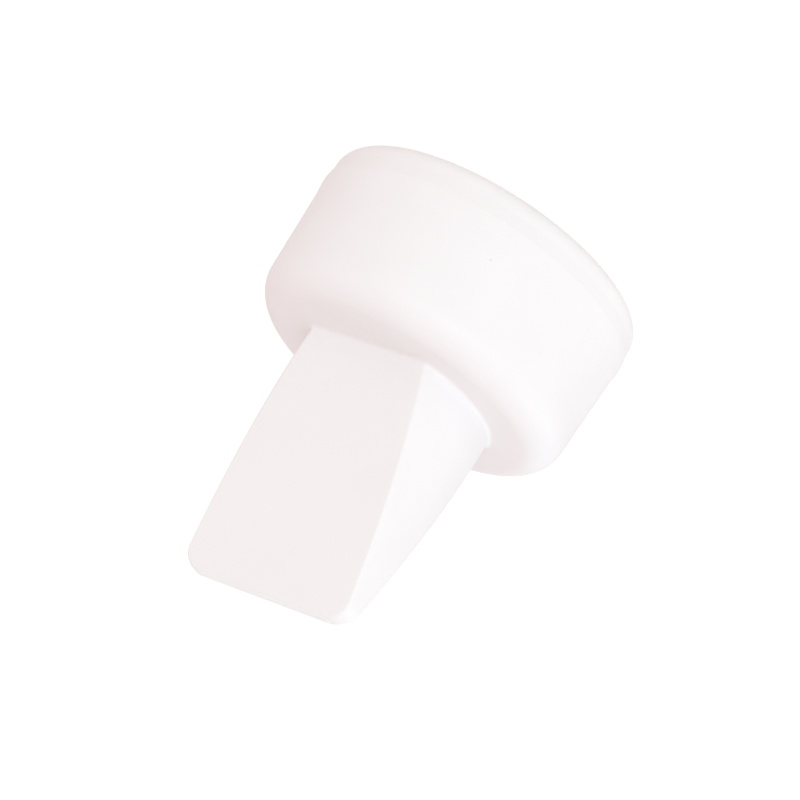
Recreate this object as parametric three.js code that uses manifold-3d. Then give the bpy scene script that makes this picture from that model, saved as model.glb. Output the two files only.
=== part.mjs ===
// Silicone duckbill valve, standing on the rim of its collar.
//
// Units are millimetres. The origin is the centre of the rim plane, and +Z runs from the rim
// to the tip of the bill. X runs along the slit, Y across it, and the front lip faces -Y.
//
// The valve is moulded in one piece of silicone. It is modelled as the zones that behave
// differently in use: the collar, made of a skirt that grips a spigot and a shoulder that
// closes it; two side walls that keep the bill in shape; and two flat lips, which part at
// the slit when flow pushes outwards and spring shut when it stops.

import * as THREE from 'three';
import { mergeVertices } from 'three/addons/utils/BufferGeometryUtils.js';
import Module from 'manifold-3d';

const wasm = await Module();
wasm.setup();

// ---------------------------------------------------------------- driving dimensions

// Collar, seen in section from the rim upwards.
const COLLAR_HEIGHT = 10.9;
const BORE_RADIUS = 8.85;
const LEAD_IN = 0.4;              // chamfer at the mouth of the bore
const RIM_RADIUS = 10.87;
const RIM_ROUND = 1.0;            // round on the rim's outer edge
const RIDGE_RADIUS = 11.0;        // low ridge left where the mould parts
const RIDGE_HEIGHT = 2.15;        // its height above the rim
const RIDGE_HALF_WIDTH = 0.3;
const WALL_RADIUS = 10.9;         // outside of the skirt just above the ridge
const SHOULDER_RADIUS = 10.72;    // outside of the skirt where the shoulder starts to round over
const SHOULDER_ROUND = 2.1;
const SHOULDER_THICKNESS = 1.9;

// Bill: an upright, slightly flaring column of elliptic section, cut by two flats that
// meet at the tip.
const BILL_LENGTH = 16.15;
const ROOT_HALF_WIDTH = 6.42;
const TIP_HALF_WIDTH = 6.66;
const DEPTH_RATIO = 1.035;        // the ellipse's depth over its width
const ROOT_HALF_THICKNESS = 4.7;
const TIP_HALF_THICKNESS = 0.42;
const TIP_CORNER = 1.5;           // round on the two corners of the tip

// Passage inside the bill. It narrows to the slit, whose faces touch along the last stretch.
const ROOT_WALL = 1.15;
const SLIT_HALF_WIDTH = 5.1;
const SLIT_LAND = 1.55;
const SLIT_HALF_GAP = 0.025;

// The lips are the middle of each flat, and the side walls are the rest.
const LIP_ROOT_HALF_WIDTH = 3.9;
const LIP_TIP_HALF_WIDTH = 5.0;

// Clearances between the zones.
const JOIN_GAP = 0.02;            // zones that never move against each other
const LIP_SIDE_GAP = 0.1;         // beside a lip
const LIP_ROOT_GAP = 0.12;        // under a lip, where it bends

// Facets.
const COLLAR_SEGMENTS = 64;
const BILL_SEGMENTS = 96;
const ROUND_STEPS = 5;
const OVERCUT = 2;                // how far a cutting solid runs past what it cuts

// ---------------------------------------------------------------- directions and materials

const X = new THREE.Vector3(1, 0, 0);
const Y = new THREE.Vector3(0, 1, 0);
const Z = new THREE.Vector3(0, 0, 1);

const collarSilicone = new THREE.MeshStandardMaterial({ color: 0xf2eeee, roughness: 0.5, metalness: 0 });
const wallSilicone = new THREE.MeshStandardMaterial({ color: 0xf6f3f2, roughness: 0.45, metalness: 0 });
const lipSilicone = new THREE.MeshStandardMaterial({ color: 0xefe9e9, roughness: 0.4, metalness: 0 });

// ---------------------------------------------------------------- solids

// A closed geometry as a manifold solid, with the vertices that it repeats merged.
function solidOf(geometry) {
  const bare = geometry.index ? geometry.clone() : geometry;
  bare.deleteAttribute('normal');
  bare.deleteAttribute('uv');
  const merged = mergeVertices(bare);
  return new wasm.Manifold(new wasm.Mesh({
    numProp: 3,
    vertProperties: merged.getAttribute('position').array,
    triVerts: new Uint32Array(merged.getIndex().array),
  }));
}

// The geometry of a manifold solid.
function geometryOf(solid) {
  const mesh = solid.getMesh();
  const geometry = new THREE.BufferGeometry();
  geometry.setAttribute('position', new THREE.BufferAttribute(mesh.vertProperties, mesh.numProp));
  geometry.setIndex(new THREE.BufferAttribute(mesh.triVerts, 1));
  geometry.computeVertexNormals();
  return geometry;
}

// A closed (radius, height) profile turned about the Z axis.
function turned(profile) {
  const geometry = new THREE.LatheGeometry(profile, COLLAR_SEGMENTS);
  geometry.rotateX(Math.PI / 2);
  return geometry;
}

// An outline drawn in the plane of two directions and pushed through it both ways.
function prism(outline, across, up, depth) {
  const geometry = new THREE.ExtrudeGeometry(outline, { depth, bevelEnabled: false, curveSegments: 8 });
  geometry.translate(0, 0, -depth / 2);
  const through = new THREE.Vector3().crossVectors(across, up);
  geometry.applyMatrix4(new THREE.Matrix4().makeBasis(across, up, through));
  return solidOf(geometry);
}

// Points on a quarter turn of a round, for a profile.
function quarterRound(centreRadius, centreHeight, radius, startAngle) {
  const points = [];
  for (let step = 0; step <= ROUND_STEPS; step += 1) {
    const angle = startAngle + (Math.PI / 2) * (step / ROUND_STEPS);
    const x = centreRadius + radius * Math.cos(angle);
    const y = centreHeight + radius * Math.sin(angle);
    points.push(new THREE.Vector2(x, y));
  }
  return points;
}

// A size that changes evenly along the bill, at a height above the root.
function alongBill(rootSize, tipSize, height) {
  return rootSize + (tipSize - rootSize) * (height / BILL_LENGTH);
}

// ---------------------------------------------------------------- collar

const skirtTop = COLLAR_HEIGHT - SHOULDER_ROUND;

// Skirt: a ring with a chamfered bore, a rounded rim and the parting ridge.
function skirtGeometry() {
  const profile = [
    new THREE.Vector2(BORE_RADIUS, skirtTop - JOIN_GAP / 2),
    new THREE.Vector2(BORE_RADIUS, LEAD_IN),
    new THREE.Vector2(BORE_RADIUS + LEAD_IN, 0),
    ...quarterRound(RIM_RADIUS - RIM_ROUND, RIM_ROUND, RIM_ROUND, -Math.PI / 2),
    new THREE.Vector2(RIM_RADIUS, RIDGE_HEIGHT - RIDGE_HALF_WIDTH),
    new THREE.Vector2(RIDGE_RADIUS, RIDGE_HEIGHT - RIDGE_HALF_WIDTH / 3),
    new THREE.Vector2(RIDGE_RADIUS, RIDGE_HEIGHT + RIDGE_HALF_WIDTH / 3),
    new THREE.Vector2(WALL_RADIUS, RIDGE_HEIGHT + RIDGE_HALF_WIDTH),
    new THREE.Vector2(SHOULDER_RADIUS, skirtTop - JOIN_GAP / 2),
  ];
  return turned([...profile, profile[0].clone()]);
}

// Shoulder: a disc that rounds over the top of the skirt, pierced by the passage.
function shoulderGeometry(passage) {
  const underside = COLLAR_HEIGHT - SHOULDER_THICKNESS;
  const disc = turned([
    new THREE.Vector2(0, underside),
    new THREE.Vector2(BORE_RADIUS, underside),
    new THREE.Vector2(BORE_RADIUS, skirtTop + JOIN_GAP / 2),
    new THREE.Vector2(SHOULDER_RADIUS, skirtTop + JOIN_GAP / 2),
    ...quarterRound(SHOULDER_RADIUS - SHOULDER_ROUND, skirtTop, SHOULDER_ROUND, 0).slice(1),
    new THREE.Vector2(0, COLLAR_HEIGHT),
  ]);
  return geometryOf(solidOf(disc).subtract(passage.translate([0, 0, COLLAR_HEIGHT])));
}

// ---------------------------------------------------------------- bill, with its root at Z = 0

// The column of elliptic section that the bill and its passage are cut from.
function ellipticColumn(rootHalfWidth, tipHalfWidth, bottom, top) {
  const topRadius = alongBill(rootHalfWidth, tipHalfWidth, top);
  const bottomRadius = alongBill(rootHalfWidth, tipHalfWidth, bottom);
  const geometry = new THREE.CylinderGeometry(topRadius, bottomRadius, top - bottom, BILL_SEGMENTS);
  geometry.rotateX(Math.PI / 2);
  geometry.scale(1, DEPTH_RATIO, 1);
  geometry.translate(0, 0, (bottom + top) / 2);
  return solidOf(geometry);
}

// A symmetric outline from its right-hand edge, given as [half width, height] pairs.
function mirroredOutline(rightEdge) {
  const right = rightEdge.map(([half, height]) => new THREE.Vector2(half, height));
  const left = rightEdge.map(([half, height]) => new THREE.Vector2(-half, height)).reverse();
  return new THREE.Shape([...right, ...left]);
}

// The outside of the bill: the column between its two flats, with the tip's corners rounded.
function billBody() {
  const top = BILL_LENGTH + OVERCUT;
  const flats = mirroredOutline([
    [ROOT_HALF_THICKNESS, JOIN_GAP],
    [TIP_HALF_THICKNESS, BILL_LENGTH],
  ]);
  const plan = new THREE.Shape();
  plan.moveTo(-TIP_HALF_WIDTH, -OVERCUT);
  plan.lineTo(TIP_HALF_WIDTH, -OVERCUT);
  plan.absarc(TIP_HALF_WIDTH - TIP_CORNER, BILL_LENGTH - TIP_CORNER, TIP_CORNER, 0, Math.PI / 2);
  plan.absarc(TIP_CORNER - TIP_HALF_WIDTH, BILL_LENGTH - TIP_CORNER, TIP_CORNER, Math.PI / 2, Math.PI);
  const reach = 4 * TIP_HALF_WIDTH;
  return ellipticColumn(ROOT_HALF_WIDTH, TIP_HALF_WIDTH, -OVERCUT, top)
    .intersect(prism(flats, Y, Z, reach))
    .intersect(prism(plan, X, Z, reach));
}

// The passage: a smaller column between two faces that close to the slit. It runs on
// down through the shoulder.
function passageBody() {
  const bottom = -SHOULDER_THICKNESS - OVERCUT;
  const top = BILL_LENGTH + OVERCUT;
  const rootHalfHeight = ROOT_HALF_THICKNESS - ROOT_WALL;
  const slitStart = BILL_LENGTH - SLIT_LAND;
  const slope = (rootHalfHeight - SLIT_HALF_GAP) / slitStart;
  const faces = mirroredOutline([
    [rootHalfHeight - slope * bottom, bottom],
    [SLIT_HALF_GAP, slitStart],
    [SLIT_HALF_GAP, top],
  ]);
  return ellipticColumn(ROOT_HALF_WIDTH - ROOT_WALL, SLIT_HALF_WIDTH, bottom - 1, top + 1)
    .intersect(prism(faces, Y, Z, 4 * TIP_HALF_WIDTH));
}

// The block that holds both lips: a trapezium in X and Z, pushed through along Y.
function lipBlock(sideGap, rootGap) {
  const top = BILL_LENGTH + OVERCUT;
  const halfWidth = (height) => alongBill(LIP_ROOT_HALF_WIDTH, LIP_TIP_HALF_WIDTH, height) - sideGap;
  const outline = mirroredOutline([
    [halfWidth(rootGap), rootGap],
    [halfWidth(top), top],
  ]);
  return prism(outline, X, Z, 4 * TIP_HALF_WIDTH);
}

// Half of all space: the side of the middle plane that the given direction points to.
function halfSpace(direction) {
  const size = 4 * BILL_LENGTH;
  const block = new THREE.BoxGeometry(size, size, size);
  block.translate(direction.x * (size / 2), direction.y * (size / 2), direction.z * (size / 2));
  return solidOf(block);
}

// ---------------------------------------------------------------- assembly

function part(name, geometry, material) {
  const mesh = new THREE.Mesh(geometry, material);
  mesh.name = name;
  return mesh;
}

const passage = passageBody();
const shell = billBody().subtract(passage);
const wallGeometry = geometryOf(shell.subtract(lipBlock(0, -OVERCUT)).intersect(halfSpace(X)));
const lipGeometry = geometryOf(
  shell.intersect(lipBlock(LIP_SIDE_GAP, LIP_ROOT_GAP)).intersect(halfSpace(Y.clone().negate())),
);

const collar = new THREE.Group();
collar.add(part('collar_skirt', skirtGeometry(), collarSilicone));
collar.add(part('shoulder', shoulderGeometry(passage), collarSilicone));

// Each half of the bill holds one side wall and one lip. The second half is the first,
// turned half way round.
const bill = new THREE.Group();
bill.position.z = COLLAR_HEIGHT;
const halves = [
  { wall: 'side_wall_right', lip: 'front_lip', turn: 0 },
  { wall: 'side_wall_left', lip: 'back_lip', turn: Math.PI },
];
for (const { wall, lip, turn } of halves) {
  const half = new THREE.Group();
  half.rotation.z = turn;
  half.add(part(wall, wallGeometry, wallSilicone));
  half.add(part(lip, lipGeometry, lipSilicone));
  bill.add(half);
}

const valve = new THREE.Group();
valve.add(collar, bill);

export default valve;
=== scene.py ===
"""A silicone duckbill valve: a push-on collar, and a bill whose two lips part at a slit.

Lengths are in metres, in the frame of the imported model: +Z runs from the collar's rim to the
tip of the bill, X along the slit, and the front lip faces -Y.
"""

import math

import bmesh
import bpy
import numpy as np
from mathutils import Matrix, Vector


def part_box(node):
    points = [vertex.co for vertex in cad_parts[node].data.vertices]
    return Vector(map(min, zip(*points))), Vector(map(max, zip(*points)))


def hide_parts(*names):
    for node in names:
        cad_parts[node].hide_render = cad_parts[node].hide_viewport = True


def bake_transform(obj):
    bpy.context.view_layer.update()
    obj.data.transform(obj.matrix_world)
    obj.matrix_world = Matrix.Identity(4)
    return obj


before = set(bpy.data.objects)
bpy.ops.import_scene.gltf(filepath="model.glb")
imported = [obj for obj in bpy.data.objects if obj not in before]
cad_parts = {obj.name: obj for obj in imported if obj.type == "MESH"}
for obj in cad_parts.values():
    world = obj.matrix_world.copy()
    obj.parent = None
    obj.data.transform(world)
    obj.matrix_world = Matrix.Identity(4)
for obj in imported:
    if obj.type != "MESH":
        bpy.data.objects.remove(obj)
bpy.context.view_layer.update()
mm = 0.001

# ---------------------------------------------------------------------------- camera
# A long lens looks at the collar from the front left and a little above, and the camera is
# rolled nearly upside down, so that the bill points down to the left.
aim = Vector((1.84 * mm, 3.03 * mm, 10.44 * mm))
azimuth, elevation, roll = (math.radians(angle) for angle in (-39.39, 18.59, 146.98))
distance = 288.7 * mm

back = Vector((
    math.sin(azimuth) * math.cos(elevation),
    -math.cos(azimuth) * math.cos(elevation),
    math.sin(elevation),
))
camera = bpy.data.objects.new("camera", bpy.data.cameras.new("camera"))
camera.data.lens = 207.1
camera.data.sensor_width = 36.0
camera.data.clip_start = 10 * mm
camera.data.clip_end = 5.0
upright = (-back).to_track_quat("-Z", "Y").to_matrix().to_4x4()
rolled = Matrix.Rotation(-roll, 4, "Z")
camera.matrix_world = Matrix.Translation(aim + back * distance) @ upright @ rolled
bpy.context.scene.collection.objects.link(camera)
bpy.context.scene.camera = camera

# ---------------------------------------------------------------------------- studio
# The valve stands on a pale sweep in a white room, whose even light is slightly warm. Three
# broad, cool windows light it: a bright one behind the camera, and two dimmer ones beyond the
# left and the back of the valve.
bpy.context.scene.view_settings.view_transform = "Standard"


def seen_as(tree, seen, given):
    """A colour that is white to the camera (seen) and lights the valve with another (given)."""
    ray = tree.nodes.new("ShaderNodeLightPath")
    colour = tree.nodes.new("ShaderNodeMix")
    colour.data_type = "RGBA"
    colour.inputs["A"].default_value = (*given, 1.0)
    colour.inputs["B"].default_value = (*seen, 1.0)
    tree.links.new(ray.outputs["Is Camera Ray"], colour.inputs["Factor"])
    return colour.outputs["Result"]


room = bpy.data.worlds.new("room")
room.use_nodes = True
room_tree = room.node_tree
room_tone = seen_as(room_tree, (1.0, 1.0, 1.0), (0.896, 0.794, 0.782))
room_tree.links.new(room_tone, room_tree.nodes["Background"].inputs["Color"])
bpy.context.scene.world = room

sweep_size = 3.0
sweep_mesh = bpy.data.meshes.new("sweep")
sweep_corners = sweep_size * np.array([[-1, -1, 0], [1, -1, 0], [1, 1, 0], [-1, 1, 0]])
sweep_mesh.from_pydata(sweep_corners.tolist(), [], [(0, 1, 2, 3)])
sweep = bpy.data.objects.new("sweep", sweep_mesh)
bpy.context.scene.collection.objects.link(sweep)

sweep_white = bpy.data.materials.new("sweep_white")
sweep_white.use_nodes = True
sweep_shader = sweep_white.node_tree.nodes["Principled BSDF"]
sweep_shader.inputs["Base Color"].default_value = (0.30, 0.30, 0.30, 1.0)
sweep_shader.inputs["Roughness"].default_value = 1.0
sweep_shader.inputs["Specular IOR Level"].default_value = 0.0
sweep_tone = seen_as(sweep_white.node_tree, (0.80, 0.80, 0.80), (0.616, 0.578, 0.562))
sweep_white.node_tree.links.new(sweep_tone, sweep_shader.inputs["Emission Color"])
sweep_shader.inputs["Emission Strength"].default_value = 1.0
sweep_mesh.materials.append(sweep_white)


window_span = math.radians(50)


def window_light(name, azimuth, elevation, tone, strength):
    """A far, soft light that takes up the angle window_span. Azimuth runs from +X towards +Y."""
    lamp = bpy.data.lights.new(name, "SUN")
    lamp.angle = window_span
    lamp.color = tone
    lamp.energy = strength
    window = bpy.data.objects.new(name, lamp)
    across, height = math.cos(elevation), math.sin(elevation)
    towards = Vector((math.cos(azimuth) * across, math.sin(azimuth) * across, height))
    window.rotation_mode = "QUATERNION"
    window.rotation_quaternion = towards.to_track_quat("Z", "Y")
    bpy.context.scene.collection.objects.link(window)


window_elevation = math.radians(10)
window_light("front_window", math.radians(225), window_elevation, (0.65, 0.94, 1.0), 1.30)
window_light("side_window", math.radians(135), window_elevation, (0.62, 0.92, 1.0), 0.63)
window_light("back_window", math.radians(90), window_elevation, (0.47, 0.90, 1.0), 0.42)

# ---------------------------------------------------------------------------- collar
# The collar is a thick silicone skirt that grips a spigot, closed by a rounded shoulder. The
# sides of the bill and its front lip grow out of the shoulder as one skin with it. It is all
# moulded in one shot, and the mould parts along a low ridge near the rim.
rim_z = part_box("collar_skirt")[0].z
root_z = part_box("shoulder")[1].z
tip_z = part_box("front_lip")[1].z
ridge_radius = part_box("collar_skirt")[1].x
shoulder_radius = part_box("shoulder")[1].x
root_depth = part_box("side_wall_right")[1].y

# The skirt flares out to the ridge, steps in where the mould parts, and eases down to the rim.
rim_radius = ridge_radius - 0.13 * mm
wall_radius = ridge_radius - 0.10 * mm
ridge_z = rim_z + 2.15 * mm
ridge_flare = 1.5 * mm
step_depth = 0.035 * mm
step_width = 0.10 * mm
ridge_drop = 0.9 * mm
ease_points = 11

bore_radius = 8.85 * mm
shoulder_round = 2.1 * mm
shoulder_thickness = 1.9 * mm
rim_round = 1.0 * mm
land_round = 0.3 * mm
bore_round = 0.5 * mm
mouth_round = 0.4 * mm

# The bill's section is an ellipse cut by two flats. Its size changes evenly along the bill.
tip_depth = 0.42 * mm
root_reach = 6.42 * mm
tip_reach = 6.66 * mm
ellipse_ratio = 1.035
tip_corner = 1.5 * mm
bulge_fade = math.radians(20)
crease_round = 0.18 * mm
seam_margin = 0.06 * mm
root_round = 0.35 * mm
bill_wall = 1.15 * mm
slit_reach = 5.1 * mm
slit_gap = 0.006 * mm
slit_length = 1.55 * mm
lip_rise = 3.0 * mm

underside_z = root_z - shoulder_thickness
seam_z = root_z + root_round + seam_margin
side_rows, corner_rows = 44, 14
lip_columns, side_columns, round_steps = 48, 26, 6
fillet_steps, mouth_steps = 8, 6
top_rings, underside_rings, passage_rings = 6, 8, 10
weld_distance = 1e-7
sharp_angle = math.radians(40)


def along_bill(root_size, tip_size, z):
    """A size at height z, by linear change from the root of the bill to its tip."""
    return root_size + (tip_size - root_size) * (z - root_z) / (tip_z - root_z)


def flat_depth(z):
    """Half the distance between the two outer flats at height z."""
    return along_bill(root_depth, tip_depth, z)


def inner_depth(z):
    """Half the height of the passage at z: it closes evenly until the slit, then stays closed."""
    slit_z = tip_z - slit_length
    root_inner = root_depth - bill_wall
    slope = (root_inner - slit_gap) / (slit_z - root_z)
    return np.maximum(slit_gap, root_inner - slope * (z - root_z))


def inner_corner(z):
    """Half the width of the passage's flat faces: where the inner ellipse meets them."""
    reach = along_bill(root_reach - bill_wall, slit_reach, z)
    return reach * np.sqrt(1 - (inner_depth(z) / (ellipse_ratio * reach)) ** 2)


def bulge(y, reach, share):
    """How far the ellipse at depth y lies inside its widest point, times a share from 0 to 1."""
    return share * reach * (1 - np.sqrt(1 - (y / (ellipse_ratio * reach)) ** 2))


def bezier(start, corner, end, steps):
    """A quadratic curve from start to end that leaves both along the lines to the corner."""
    t = np.linspace(0, 1, steps + 1).reshape((-1,) + (1,) * start.ndim)
    return (1 - t) ** 2 * start + 2 * t * (1 - t) * corner + t**2 * end


def edge_band(place, outward, share):
    """The bill's edge, as rows across it from the front flat to the back flat.

    place and outward are points and normals along the bill's outline, seen from the front.
    Each row leaves the front flat over a small round, follows the ellipse and mirrors back.
    """
    reach = along_bill(root_reach, tip_reach, np.minimum(place[:, 1], tip_z - tip_corner))
    depth = flat_depth(place[:, 1])

    def at(inward, y):
        flat_place = place - inward[:, None] * outward
        return np.stack([flat_place[:, 0], y, flat_place[:, 1]], axis=1)

    def on_flat(inward):
        z = place[:, 1] - inward * outward[:, 1]
        return at(inward, -flat_depth(z))

    crease = bulge(depth, reach, share)
    side_start = depth - crease_round
    seam = on_flat(crease + crease_round + seam_margin)
    rounding = bezier(
        on_flat(crease + crease_round),
        on_flat(crease),
        at(bulge(side_start, reach, share), -side_start),
        round_steps,
    )
    slit_share = slit_gap / (flat_depth(tip_z) - crease_round)
    half_across = np.linspace(slit_share, 1, side_columns // 2)[:-1]
    across = np.concatenate([-half_across[::-1], half_across])
    side = np.stack([at(bulge(t * side_start, reach, share), t * side_start) for t in across])
    front = np.concatenate([seam[None], rounding])
    back = front[::-1] * np.array([1, -1, 1])
    return np.concatenate([front, side, back]).transpose(1, 0, 2)


def inner_band(z, columns):
    """The side of the passage at heights z, as rows across it from the front to the back face."""
    reach = along_bill(root_reach - bill_wall, slit_reach, z)
    turn = np.arcsin(inner_depth(z) / (ellipse_ratio * reach))
    angle = turn[:, None] * np.linspace(-1, 1, columns)
    x = reach[:, None] * np.cos(angle)
    y = ellipse_ratio * reach[:, None] * np.sin(angle)
    return np.stack([x, y, np.broadcast_to(z[:, None], x.shape)], axis=2)


def bill_outline():
    """Points and normals up the bill's right side and round its corner, seen from the front.

    The third result is the share of the ellipse's bulge that each point keeps: all of it up the
    side, then less and less round the corner, as the square of what is left of bulge_fade.
    """
    z = np.linspace(seam_z, tip_z - tip_corner, side_rows)
    side = np.stack([along_bill(root_reach, tip_reach, z), z], axis=1)
    side_normal = np.tile([1.0, 0.0], (side_rows, 1))
    turn = np.linspace(0, math.pi / 2, corner_rows + 1)[1:]
    corner_normal = np.stack([np.cos(turn), np.sin(turn)], axis=1)
    corner = side[-1] - tip_corner * np.array([1, 0]) + tip_corner * corner_normal
    share = np.concatenate([np.ones(side_rows), np.maximum(0, 1 - turn / bulge_fade) ** 2])
    return np.concatenate([side, corner]), np.concatenate([side_normal, corner_normal]), share


def across_lip(edge_x, y, z):
    """Rows straight across a lip: x from -edge_x to edge_x, at depths y and heights z."""
    x = edge_x[:, None] * np.linspace(-1, 1, lip_columns + 1)
    depth, height = (np.broadcast_to(row[:, None], x.shape) for row in (y, z))
    return np.stack([x, depth, height], axis=2)


def ring_of(lip_row, side_row):
    """One closed loop: the front lip's row, the right side's, and both turned half way round."""
    half = np.concatenate([lip_row, side_row[1:-1]])
    return np.concatenate([half, half * np.array([-1, -1, 1])])


def outer_ring(z):
    """The loop round the outside of the bill at height z."""
    reach = along_bill(root_reach, tip_reach, z)
    side = edge_band(np.array([[reach, z]]), np.array([[1.0, 0.0]]), np.ones(1))[0]
    seam = side[0]
    return ring_of(across_lip(seam[:1], seam[1:2], seam[2:])[0], side)


def inner_ring(z, columns):
    """The loop round the inside of the passage at height z."""
    height = np.array([z])
    lip = across_lip(inner_corner(height), -inner_depth(height), height)[0]
    return ring_of(lip, inner_band(height, columns)[0])


def spread(ring, amount):
    """A loop moved outwards in its plane by an amount."""
    along = np.roll(ring, -1, axis=0) - np.roll(ring, 1, axis=0)
    outward = np.stack([along[:, 1], -along[:, 0], np.zeros(len(ring))], axis=1)
    return ring + amount * outward / np.linalg.norm(outward, axis=1)[:, None]


def arc(centre_radius, centre_z, radius, first, last, steps):
    """Points of a profile on an arc, given by its centre, its radius and two angles in degrees."""
    angle = np.radians(np.linspace(first, last, steps + 1))
    radial = centre_radius + radius * np.cos(angle)
    height = centre_z + radius * np.sin(angle)
    return np.stack([radial, height], axis=1)


def between(first, last, steps):
    """Points of a profile on a straight line, without its two ends."""
    t = np.linspace(0, 1, steps + 1)[1:-1, None]
    return np.array(first) * (1 - t) + np.array(last) * t


def collar_profile():
    """The collar's section from the top of its shoulder, down the outside and up the bore.

    It is made of arcs and straight lines. The flare to the ridge and the drop after the step
    follow half a cosine wave, which leaves and meets the lines beside it without a kink.
    """
    shoulder_low = root_z - shoulder_round
    ease = (1 - np.cos(np.linspace(0, math.pi, ease_points))) / 2
    step_radius = ridge_radius - step_depth
    flare_radius = wall_radius + (ridge_radius - wall_radius) * ease
    drop_radius = step_radius + (rim_radius - step_radius) * ease
    flare_z = np.linspace(ridge_z + ridge_flare, ridge_z, ease_points)
    drop_z = np.linspace(ridge_z - step_width, ridge_z - ridge_drop, ease_points)
    ridge = np.concatenate([
        np.stack([flare_radius, flare_z], axis=1),
        np.stack([drop_radius, drop_z], axis=1),
    ])
    return np.concatenate([
        arc(shoulder_radius - shoulder_round, shoulder_low, shoulder_round, 90, 0, 20),
        between((shoulder_radius, shoulder_low), ridge[0], 16),
        ridge,
        between(ridge[-1], (rim_radius, rim_z + rim_round), 2),
        arc(rim_radius - rim_round, rim_z + rim_round, rim_round, 0, -90, 12),
        arc(bore_radius + land_round, rim_z + land_round, land_round, -90, -180, 6),
        between((bore_radius, rim_z + land_round), (bore_radius, underside_z - bore_round), 16),
        arc(bore_radius - bore_round, underside_z - bore_round, bore_round, 0, 90, 6),
    ])


def turned(ring, profile):
    """The profile turned about the Z axis, with its points at the angles of a loop's points."""
    angle = np.arctan2(ring[:, 1], ring[:, 0])
    radius, z = profile[:, :1], profile[:, 1:]
    return np.stack([radius * np.cos(angle), radius * np.sin(angle), z + 0 * angle], axis=2)


def skin(name, patches, ends=(), moving=()):
    """A closed mesh object. Patches are (rows, columns, 3) grids of points, ends are flat loops.

    Neighbouring patches share their edge points, which are welded here. The patches in moving
    carry a fourth number, how far the point follows its lip, which becomes the attribute motion.
    """
    points, faces, count = [], [], 0
    still = [np.concatenate([patch, 0 * patch[..., :1]], axis=2) for patch in patches]
    for patch in still + list(moving):
        rows, columns = patch.shape[:2]
        index = count + np.arange(rows * columns).reshape(rows, columns)
        quads = np.stack([index[:-1, :-1], index[:-1, 1:], index[1:, 1:], index[1:, :-1]], axis=2)
        points.append(patch.reshape(-1, 4))
        faces += quads.reshape(-1, 4).tolist()
        count += rows * columns
    for end in ends:
        points.append(np.concatenate([end, 0 * end[:, :1]], axis=1))
        faces.append(list(range(count, count + len(end))))
        count += len(end)
    mesh = bpy.data.meshes.new(name)
    points = np.concatenate(points)
    mesh.from_pydata(points[:, :3].tolist(), [], faces)
    motion = mesh.attributes.new("motion", "FLOAT", "POINT")
    motion.data.foreach_set("value", points[:, 3].astype(np.float32))
    shape = bmesh.new()
    shape.from_mesh(mesh)
    bmesh.ops.remove_doubles(shape, verts=shape.verts, dist=weld_distance)
    bmesh.ops.dissolve_degenerate(shape, edges=shape.edges, dist=weld_distance)
    bmesh.ops.recalc_face_normals(shape, faces=shape.faces)
    shape.to_mesh(mesh)
    shape.free()
    mesh.shade_smooth()
    mesh.set_sharp_from_angle(angle=sharp_angle)
    piece = bpy.data.objects.new(name, mesh)
    bpy.context.scene.collection.objects.link(piece)
    return piece


def closed(rings):
    """A stack of loops as a patch whose last column repeats its first."""
    rings = np.asarray(rings)
    return np.concatenate([rings, rings[:, :1]], axis=1)


def blended(first, last, steps):
    """Loops evenly between two loops, without those two."""
    t = np.linspace(0, 1, steps + 1)[1:-1, None, None]
    return first * (1 - t) + last * t


place, outward, share = bill_outline()
band = edge_band(place, outward, share)
band_columns = band.shape[1]
slit_column = (band_columns - 1) // 2
seam_line = band[:, 0]
inner_sides = inner_band(seam_line[:, 2], band_columns)

root_line = outer_ring(root_z)
fillet_top, fillet_foot = outer_ring(root_z + root_round), spread(root_line, root_round)
fillet = bezier(fillet_top, root_line, fillet_foot, fillet_steps)
lathe = turned(fillet[-1], collar_profile())
mouth_line = inner_ring(underside_z, band_columns)
mouth_top = inner_ring(underside_z + mouth_round, band_columns)
mouth = bezier(spread(mouth_line, mouth_round), mouth_line, mouth_top, mouth_steps)
passage_z = np.linspace(underside_z + mouth_round, seam_z, passage_rings)[1:]
collar_rings = np.concatenate([
    outer_ring(seam_z)[None],
    fillet,
    blended(fillet[-1], lathe[0], top_rings),
    lathe,
    blended(lathe[-1], mouth[0], underside_rings),
    mouth,
    np.stack([inner_ring(z, band_columns) for z in passage_z]),
])


def lip_motion(z):
    """How far a lip's points follow the lip, from 0 to 1, as rows at heights z.

    Across the lip it is 1 minus the square of the distance from the middle, so it is 0 at both
    side edges. Up the lip it eases in from 0 over lip_rise, as 3 squares less 2 cubes.
    """
    rise = np.clip((z - seam_z) / lip_rise, 0, 1)
    across = 1 - np.linspace(-1, 1, lip_columns + 1) ** 2
    return (rise * rise * (3 - 2 * rise))[:, None] * across


def lip_leaf():
    """The front lip's outside, tip and inside, as one patch of rows that carry their motion."""
    outside = across_lip(seam_line[:, 0], seam_line[:, 1], seam_line[:, 2])
    tip = band[-1, 1 : slit_column + 1]
    over_tip = across_lip(tip[:, 0], tip[:, 1], tip[:, 2])
    inner_z = seam_line[::-1, 2]
    inside = across_lip(inner_corner(inner_z), -inner_depth(inner_z), inner_z)
    rows = np.concatenate([outside, over_tip, inside])
    return np.concatenate([rows, lip_motion(rows[:, 0, 2])[..., None]], axis=2)


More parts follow.
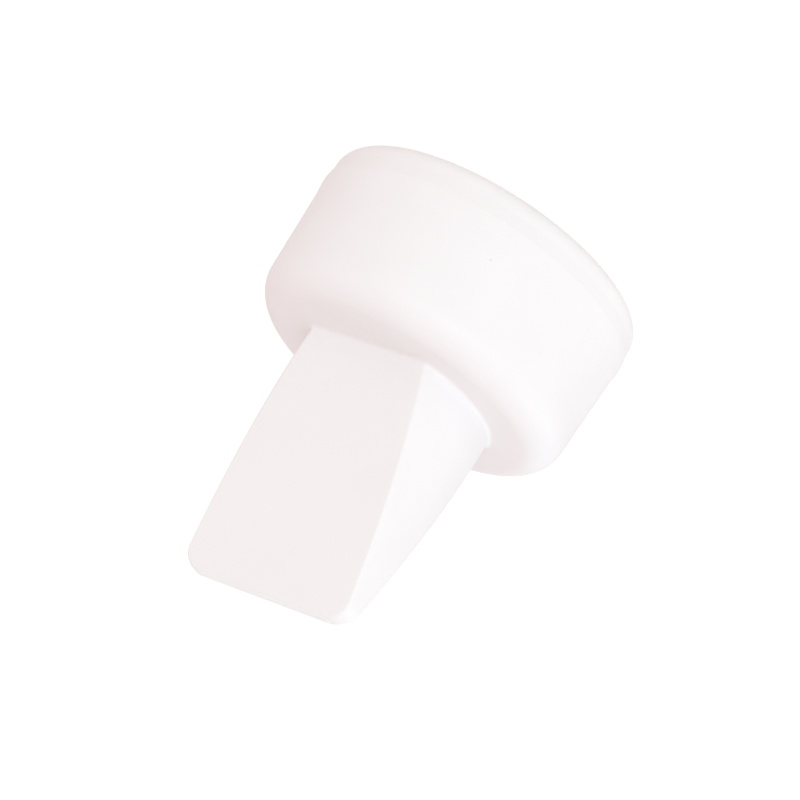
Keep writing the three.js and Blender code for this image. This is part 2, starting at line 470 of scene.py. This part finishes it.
half_turn = np.array([-1, -1, 1])
mirror = np.array([-1, 1, 1])
front_leaf = lip_leaf()
outer_root = collar_rings[0, : lip_columns + 1]
inner_root = collar_rings[-1, : lip_columns + 1]
back_ledge = np.stack([outer_root, inner_root]) * half_turn
back_cut = np.stack([band[:, -1], inner_sides[:, -1]], axis=1)
back_end = np.concatenate([band[-1, slit_column:], inner_sides[-1, ::-1]])
side_patches = [band, inner_sides, back_cut]
body = skin(
    "collar_and_front_lip",
    [closed(collar_rings), back_ledge] + side_patches + [patch * mirror for patch in side_patches],
    ends=[back_end, back_end * mirror],
    moving=[front_leaf],
)


def silicone(name):
    """Opaque white silicone: a satin skin, a faint drift of tone, fine grain and rare dark specks.

    At the very end of the bill the colour is painted paler and a little cool: painted light, as if
    the thin tip let light through.
    """
    material = bpy.data.materials.new(name)
    material.use_nodes = True
    nodes, links = material.node_tree.nodes, material.node_tree.links
    shader = nodes["Principled BSDF"]
    shader.inputs["IOR"].default_value = 1.41

    place_on_piece = nodes.new("ShaderNodeTexCoord")
    drift = nodes.new("ShaderNodeTexNoise")
    drift.inputs["Scale"].default_value = 260.0
    drift.inputs["Detail"].default_value = 4.0
    links.new(place_on_piece.outputs["Object"], drift.inputs["Vector"])
    tone = nodes.new("ShaderNodeValToRGB")
    tone.color_ramp.elements[0].position = 0.35
    tone.color_ramp.elements[0].color = (0.864, 0.831, 0.833, 1.0)
    tone.color_ramp.elements[1].position = 0.65
    tone.color_ramp.elements[1].color = (0.874, 0.843, 0.845, 1.0)
    links.new(drift.outputs["Fac"], tone.inputs["Fac"])

    place_parts = nodes.new("ShaderNodeSeparateXYZ")
    links.new(place_on_piece.outputs["Object"], place_parts.inputs["Vector"])
    # Painted light: the top 0.07 mm of the bill is painted paler and cooler, as a glow through the
    # thin tip.
    painted_tip_light_mask = nodes.new("ShaderNodeMapRange")
    painted_tip_light_mask.inputs["From Min"].default_value = tip_z - 0.07 * mm
    painted_tip_light_mask.inputs["From Max"].default_value = tip_z - 0.01 * mm
    links.new(place_parts.outputs["Z"], painted_tip_light_mask.inputs["Value"])
    painted_tip_light = nodes.new("ShaderNodeMix")
    painted_tip_light.data_type = "RGBA"
    painted_tip_light.inputs["B"].default_value = (0.905, 0.93, 0.93, 1.0)
    links.new(painted_tip_light_mask.outputs["Result"], painted_tip_light.inputs["Factor"])
    links.new(tone.outputs["Color"], painted_tip_light.inputs["A"])

    cells = nodes.new("ShaderNodeTexVoronoi")
    cells.inputs["Scale"].default_value = 420.0
    links.new(place_on_piece.outputs["Object"], cells.inputs["Vector"])
    near_middle = nodes.new("ShaderNodeMapRange")
    near_middle.inputs["From Min"].default_value = 0.036
    near_middle.inputs["From Max"].default_value = 0.012
    links.new(cells.outputs["Distance"], near_middle.inputs["Value"])
    cell_draw = nodes.new("ShaderNodeSeparateColor")
    links.new(cells.outputs["Color"], cell_draw.inputs["Color"])
    chosen = nodes.new("ShaderNodeMapRange")
    chosen.inputs["From Min"].default_value = 0.45
    chosen.inputs["From Max"].default_value = 1.00
    links.new(cell_draw.outputs["Red"], chosen.inputs["Value"])
    speck = nodes.new("ShaderNodeMath")
    speck.operation = "MULTIPLY"
    links.new(near_middle.outputs["Result"], speck.inputs[0])
    links.new(chosen.outputs["Result"], speck.inputs[1])
    colour = nodes.new("ShaderNodeMix")
    colour.data_type = "RGBA"
    colour.inputs["B"].default_value = (0.70, 0.64, 0.63, 1.0)
    links.new(speck.outputs["Value"], colour.inputs["Factor"])
    links.new(painted_tip_light.outputs["Result"], colour.inputs["A"])
    links.new(colour.outputs["Result"], shader.inputs["Base Color"])

    satin = nodes.new("ShaderNodeMapRange")
    satin.inputs["To Min"].default_value = 0.40
    satin.inputs["To Max"].default_value = 0.52
    links.new(drift.outputs["Fac"], satin.inputs["Value"])
    links.new(satin.outputs["Result"], shader.inputs["Roughness"])

    grain = nodes.new("ShaderNodeTexNoise")
    grain.inputs["Scale"].default_value = 5200.0
    grain.inputs["Detail"].default_value = 3.0
    links.new(place_on_piece.outputs["Object"], grain.inputs["Vector"])
    relief = nodes.new("ShaderNodeBump")
    relief.inputs["Strength"].default_value = 0.12
    relief.inputs["Distance"].default_value = 0.02 * mm
    links.new(grain.outputs["Fac"], relief.inputs["Height"])
    links.new(relief.outputs["Normal"], shader.inputs["Normal"])
    return material


def join_to_lip(piece):
    """Bakes a piece's transform into its mesh and removes the attribute motion that its points
    carry.
    """
    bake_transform(piece)
    motion = np.zeros(len(piece.data.vertices), np.float32)
    piece.data.attributes["motion"].data.foreach_get("value", motion)
    piece.data.attributes.remove(piece.data.attributes["motion"])


body.data.materials.append(silicone("body_silicone"))
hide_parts("collar_skirt", "shoulder", "side_wall_left", "side_wall_right", "front_lip")
join_to_lip(body)

# ---------------------------------------------------------------------------- back lip
# The second lip is the same thin leaf of silicone, turned half way round. It is moulded to the
# sides and the root along its edges, and only its middle lifts off the front lip.
seam_clearance = 0.002 * mm
shrink = np.array([1 - seam_clearance / tip_reach, 1, 1])
back_leaf = front_leaf.copy()
back_leaf[..., :3] *= half_turn * shrink
back_leaf[..., 2] = np.maximum(back_leaf[..., 2], seam_z + seam_clearance)
leaf_rows = len(seam_line)
leaf_outside = back_leaf[:leaf_rows, :, :3]
leaf_inside = back_leaf[-leaf_rows:, :, :3][::-1]
leaf_root = np.stack([leaf_outside[0], leaf_inside[0]])
leaf_edges = (0, -1)
leaf_sides = [
    np.stack([leaf_outside[:, edge], leaf_inside[:, edge]], axis=1) for edge in leaf_edges
]
leaf_ends = [back_leaf[leaf_rows - 1 : -leaf_rows + 1, edge, :3] for edge in leaf_edges]
back_lip = skin("back_lip_leaf", [leaf_root] + leaf_sides, leaf_ends, moving=[back_leaf])
back_lip.data.materials.append(silicone("lip_silicone"))
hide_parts("back_lip")
join_to_lip(back_lip)
